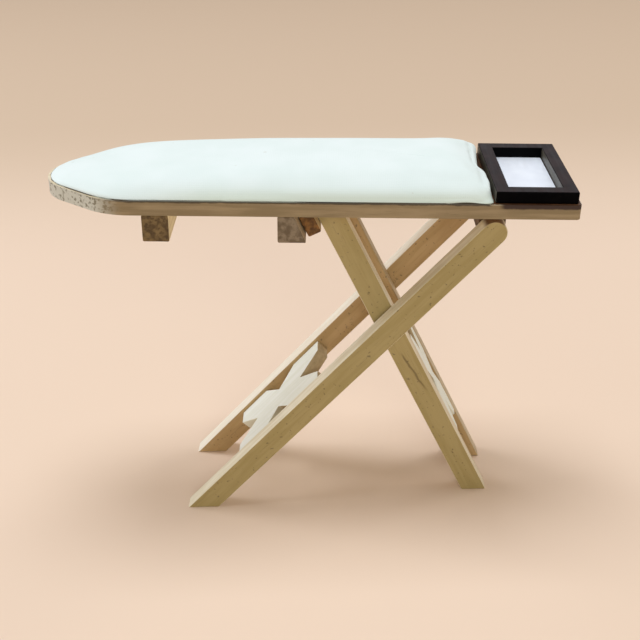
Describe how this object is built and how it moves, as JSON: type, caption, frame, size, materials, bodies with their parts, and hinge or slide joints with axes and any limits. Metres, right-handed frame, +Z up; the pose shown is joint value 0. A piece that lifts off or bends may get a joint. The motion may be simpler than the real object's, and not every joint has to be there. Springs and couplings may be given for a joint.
{
  "type": "dollhouse ironing board",
  "caption": "Miniature wooden ironing board with a padded cloth cover, an iron rest with a metal plate and crossed scissor legs that close towards each other",
  "frame": {"origin": "middle of the bounding box in plan, on the floor the four feet stand on", "axes": "+Z up, +X towards the square end with the iron rest, -Y the front"},
  "size_m": [0.1016, 0.0282, 0.0768],
  "materials": {
    "board_wood": "smooth sanded, clear",
    "leg_wood": "smooth sanded, clear",
    "rail_wood": "sawn end grain",
    "brace_wood": "smooth sanded, pale",
    "stained_wood": "dark stain, satin",
    "cover_cloth": "plain woven cotton",
    "wadding": "loose cotton",
    "rest_metal": "bright sheet",
    "pin_wire": "plain wire"
  },
  "bodies": {
    "board": {"board": "board_wood", "pad_cover": "cover_cloth", "pad_wadding": "wadding", "iron_rest_frame": "stained_wood", "iron_rest_plate": "rest_metal", "nose_rail": "rail_wood", "catch_rail": "rail_wood", "hinge_rail": "rail_wood", "hinge_pin_front": "pin_wire", "hinge_pin_back": "pin_wire"},
    "outer_frame": {"outer_leg_front": "leg_wood", "outer_leg_back": "leg_wood", "outer_brace": "brace_wood", "crossing_pin_front": "pin_wire", "crossing_pin_back": "pin_wire"},
    "inner_frame": {"inner_leg_front": "leg_wood", "inner_leg_back": "leg_wood", "inner_brace": "brace_wood", "catch_bar": "rail_wood"}
  },
  "joints": [
    {"name": "outer_hinge", "type": "hinge", "parent": "board", "child": "outer_frame", "pos_m": [0.03521, 0, 0.06372], "axis": [0, -1, 0], "range_deg": [0, 27]},
    {"name": "inner_pivot", "type": "hinge", "parent": "outer_frame", "child": "inner_frame", "pos_m": [0.01509, 0, 0.04255], "axis": [0, -1, 0], "range_deg": [-50, 0]}
  ],
  "couplings": [
    {"joint": "inner_pivot", "follows": "outer_hinge", "ratio": -1.84}
  ]
}
